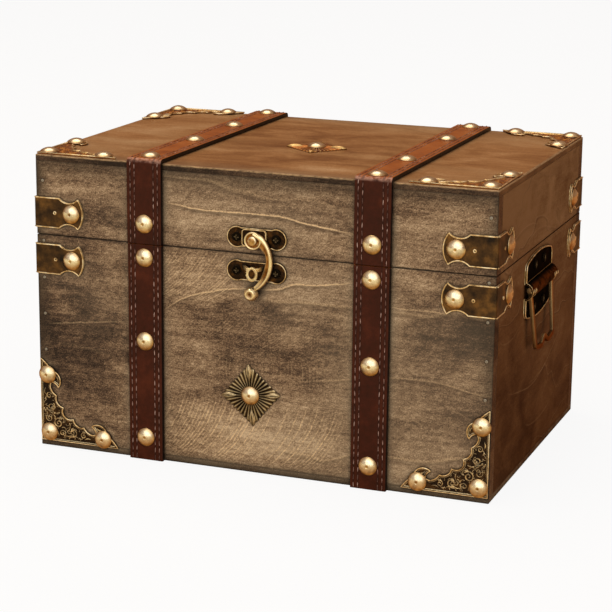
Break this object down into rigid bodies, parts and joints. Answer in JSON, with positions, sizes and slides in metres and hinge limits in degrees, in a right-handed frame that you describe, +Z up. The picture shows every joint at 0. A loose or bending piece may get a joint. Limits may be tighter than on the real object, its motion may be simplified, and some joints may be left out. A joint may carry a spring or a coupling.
{
  "type": "wooden trunk",
  "caption": "Small wooden trunk with a hinged lid, leather straps, a swing hook latch, round-headed tacks, metal corner plates and bail handles at the sides.",
  "frame": {"origin": "middle of the underside of the case, on the surface that it stands on", "axes": "+X to the right along the width, -Y out of the front with the latch, +Z up; the lid is closed and both bails hang at rest"},
  "size_m": [0.2358, 0.1676, 0.1474],
  "materials": {
    "grey_washed_wood": "grey-brown washed stain, satin",
    "brown_stained_wood": "warm brown stain, satin",
    "dark_stained_wood": "dark red-brown stain, satin",
    "strap_leather": "smooth reddish brown leather, semi-gloss",
    "gilt_tack": "polished pale gilt",
    "antique_bronze_plate": "antique bronze with worn bright rims",
    "antique_brass": "antique brass, darkened in the recesses",
    "blackened_screw": "blackened steel",
    "pin_steel": "dull steel"
  },
  "bodies": {
    "base": {"base_bottom_panel": "grey_washed_wood", "base_front_board": "grey_washed_wood", "base_back_board": "grey_washed_wood", "base_left_board": "dark_stained_wood", "base_right_board": "dark_stained_wood", "base_panel_pins": "pin_steel", "base_strap_front_left": "strap_leather", "base_strap_front_right": "strap_leather", "base_strap_back_left": "strap_leather", "base_strap_back_right": "strap_leather", "base_edge_plate_front_left": "antique_bronze_plate", "base_edge_plate_front_right": "antique_bronze_plate", "base_edge_plate_back_left": "antique_bronze_plate", "base_edge_plate_back_right": "antique_bronze_plate", "base_corner_plate_left": "antique_bronze_plate", "base_corner_plate_right": "antique_bronze_plate", "front_rosette": "antique_bronze_plate", "base_strap_tacks": "gilt_tack", "base_edge_plate_tacks": "gilt_tack", "base_corner_tacks": "gilt_tack", "front_rosette_tack": "gilt_tack", "latch_catch_plate": "antique_brass", "latch_catch_screws": "blackened_screw", "hinge_left_base_leaf": "antique_brass", "hinge_right_base_leaf": "antique_brass", "hinge_base_screws": "blackened_screw", "hinge_pins": "antique_brass", "handle_left_plate": "antique_brass", "handle_right_plate": "antique_brass", "handle_screws": "blackened_screw"},
    "lid": {"lid_top_panel": "brown_stained_wood", "lid_front_board": "grey_washed_wood", "lid_back_board": "grey_washed_wood", "lid_left_board": "dark_stained_wood", "lid_right_board": "dark_stained_wood", "lid_panel_pins": "pin_steel", "lid_strap_left": "strap_leather", "lid_strap_right": "strap_leather", "lid_edge_plate_front_left": "antique_bronze_plate", "lid_edge_plate_front_right": "antique_bronze_plate", "lid_edge_plate_back_left": "antique_bronze_plate", "lid_edge_plate_back_right": "antique_bronze_plate", "lid_corner_plate_front_left": "antique_bronze_plate", "lid_corner_plate_front_right": "antique_bronze_plate", "lid_corner_plate_back_left": "antique_bronze_plate", "lid_corner_plate_back_right": "antique_bronze_plate", "top_rosette": "antique_bronze_plate", "lid_strap_tacks": "gilt_tack", "lid_edge_plate_tacks": "gilt_tack", "lid_corner_tacks": "gilt_tack", "top_rosette_tack": "gilt_tack", "latch_pivot_plate": "antique_brass", "latch_pivot_screws": "blackened_screw", "latch_rivet": "antique_brass", "hinge_left_lid_leaf": "antique_brass", "hinge_right_lid_leaf": "antique_brass", "hinge_lid_screws": "blackened_screw"},
    "hook": {"latch_arm": "antique_brass"},
    "left_bail": {"handle_left_bail": "antique_brass"},
    "right_bail": {"handle_right_bail": "antique_brass"}
  },
  "joints": [
    {"name": "lid_hinge", "type": "hinge", "parent": "base", "child": "lid", "pos_m": [0, 0.0806, 0.1047], "axis": [-1, 0, 0], "range_deg": [0, 100]},
    {"name": "hook_swing", "type": "hinge", "parent": "lid", "child": "hook", "pos_m": [-0.001, -0.08075, 0.1114], "axis": [0, -1, 0], "range_deg": [0, 135]},
    {"name": "left_bail_swing", "type": "hinge", "parent": "base", "child": "left_bail", "pos_m": [-0.1142, -0.005, 0.0867], "axis": [0, 1, 0], "range_deg": [0, 85]},
    {"name": "right_bail_swing", "type": "hinge", "parent": "base", "child": "right_bail", "pos_m": [0.1142, -0.005, 0.0867], "axis": [0, -1, 0], "range_deg": [0, 85]}
  ]
}
